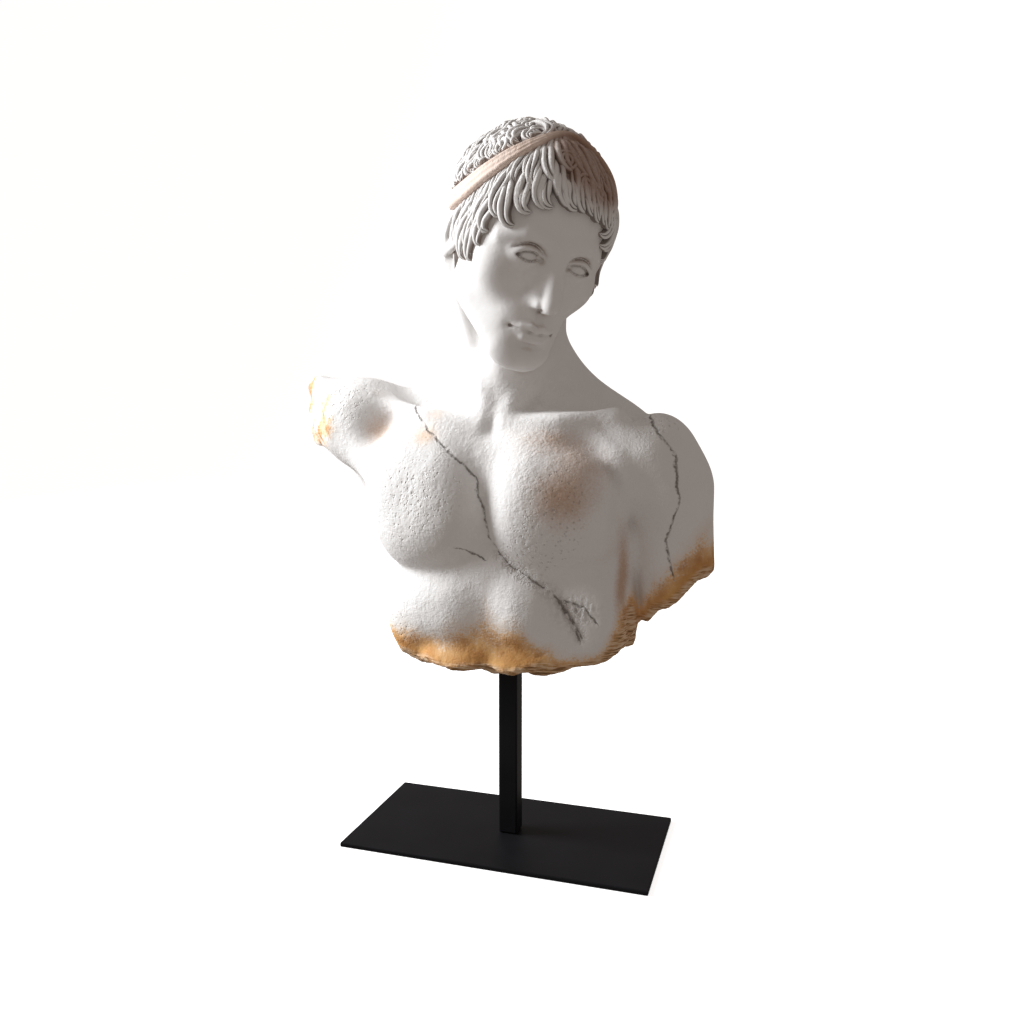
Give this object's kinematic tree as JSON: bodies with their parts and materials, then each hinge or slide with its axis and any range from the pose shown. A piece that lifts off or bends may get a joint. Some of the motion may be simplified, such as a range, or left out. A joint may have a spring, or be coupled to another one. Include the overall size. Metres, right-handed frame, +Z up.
{
  "type": "bust figurine",
  "caption": "Weathered bust of a youth with a fillet in curled hair, head bowed to one side and arms broken off, on a square post over a flat plate.",
  "frame": {"origin": "middle of the plate's underside, on the surface that it stands on", "axes": "+Z up, +X to the figure's left along the plate's long side, -Y to the front, where the chest faces"},
  "size_m": [0.3037, 0.1597, 0.4507],
  "materials": {
    "plaster": "matt cast resin plaster, orange-brown patina on the breaks",
    "black_steel": "satin black powder coat"
  },
  "bodies": {
    "root": {"bust": "plaster", "support_post": "black_steel", "base_plate": "black_steel"}
  },
  "joints": []
}
